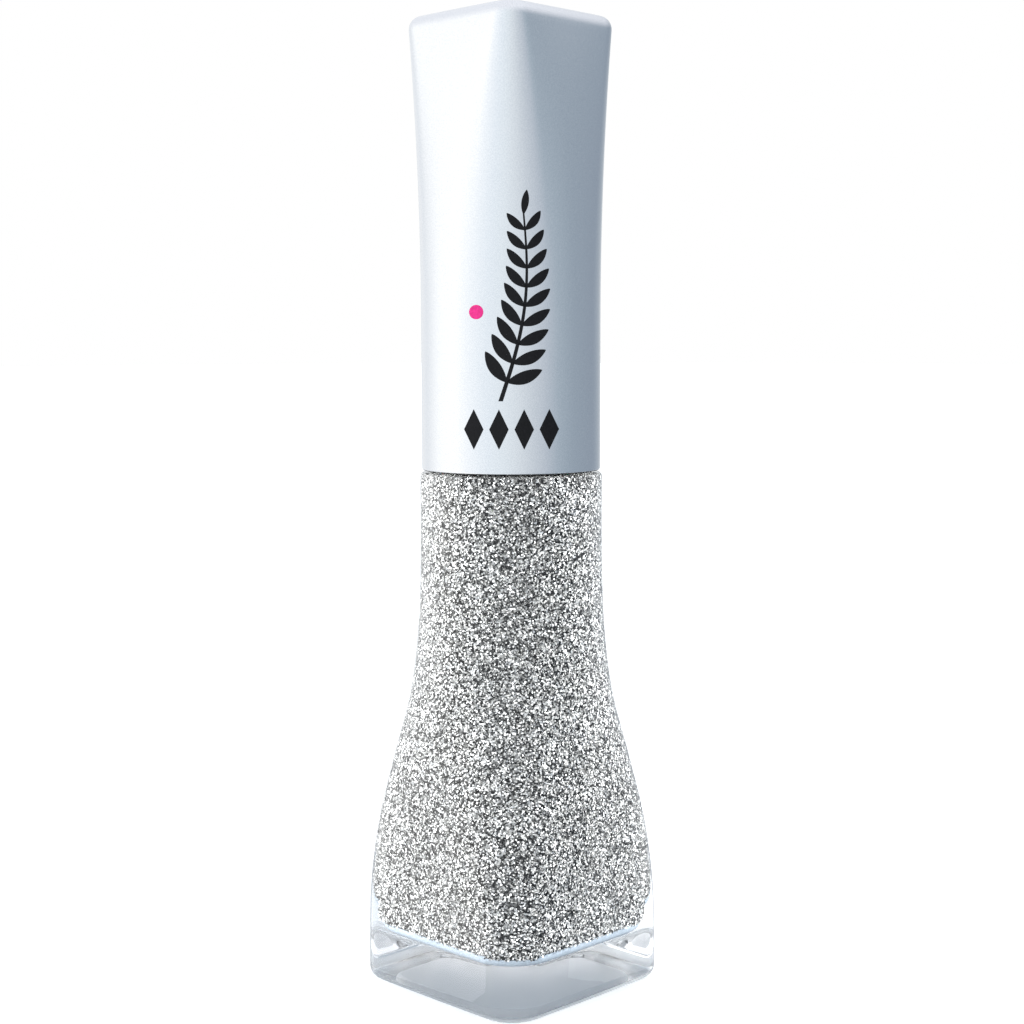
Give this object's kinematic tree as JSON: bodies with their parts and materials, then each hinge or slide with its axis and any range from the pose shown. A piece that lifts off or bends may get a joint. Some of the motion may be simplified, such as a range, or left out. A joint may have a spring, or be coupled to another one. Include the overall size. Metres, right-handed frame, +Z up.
{
  "type": "nail polish bottle",
  "caption": "Small clear glass bottle with a rounded square foot and a round neck, filled with glitter polish, closed by a tall screw cap that carries a brush.",
  "frame": {"origin": "centre of the bottle's foot, on the surface that it stands on", "axes": "+Z up along the axis of the bottle and cap; the flat sides face along X and Y, and the corner that the printed decoration sits on faces +X -Y"},
  "size_m": [0.021, 0.021, 0.088],
  "materials": {
    "clear_glass": "clear, fire-polished",
    "glitter_polish": "clear liquid dense with silver flakes",
    "ball_steel": "polished stainless steel",
    "pearl_plastic": "glossy, pearl silver-white",
    "closure_plastic": "natural polypropylene",
    "liner_foam": "closed-cell polyethylene foam",
    "stem_plastic": "smooth polyethylene",
    "staple_wire": "drawn wire",
    "bristle_nylon": "fine black nylon filaments"
  },
  "bodies": {
    "bottle": {"glass_bottle": "clear_glass", "nail_polish": "glitter_polish"},
    "liner": {"sealing_liner": "liner_foam"},
    "cap": {"overcap": "pearl_plastic", "inner_cap": "closure_plastic", "brush_stem": "stem_plastic", "bristle_staple": "staple_wire", "bristles": "bristle_nylon"},
    "ball_1": {"mixing_ball_1": "ball_steel"},
    "ball_2": {"mixing_ball_2": "ball_steel"}
  },
  "joints": [
    {"name": "cap_lift", "type": "slide", "parent": "bottle", "child": "liner", "axis": [0, 0, 1], "range_m": [0, 0.063]},
    {"name": "cap_turn", "type": "hinge", "parent": "liner", "child": "cap", "pos_m": [0, 0, 0.055], "axis": [0, 0, 1], "range_deg": [0, 10800]},
    {"name": "mixing_ball_1_rise", "type": "slide", "parent": "bottle", "child": "ball_1", "axis": [0, 0, 1], "range_m": [0, 0.01]},
    {"name": "mixing_ball_2_rise", "type": "slide", "parent": "bottle", "child": "ball_2", "axis": [0, 0, 1], "range_m": [0, 0.01]}
  ],
  "couplings": [
    {"joint": "cap_turn", "follows": "cap_lift", "rad_per_m": 2992}
  ]
}
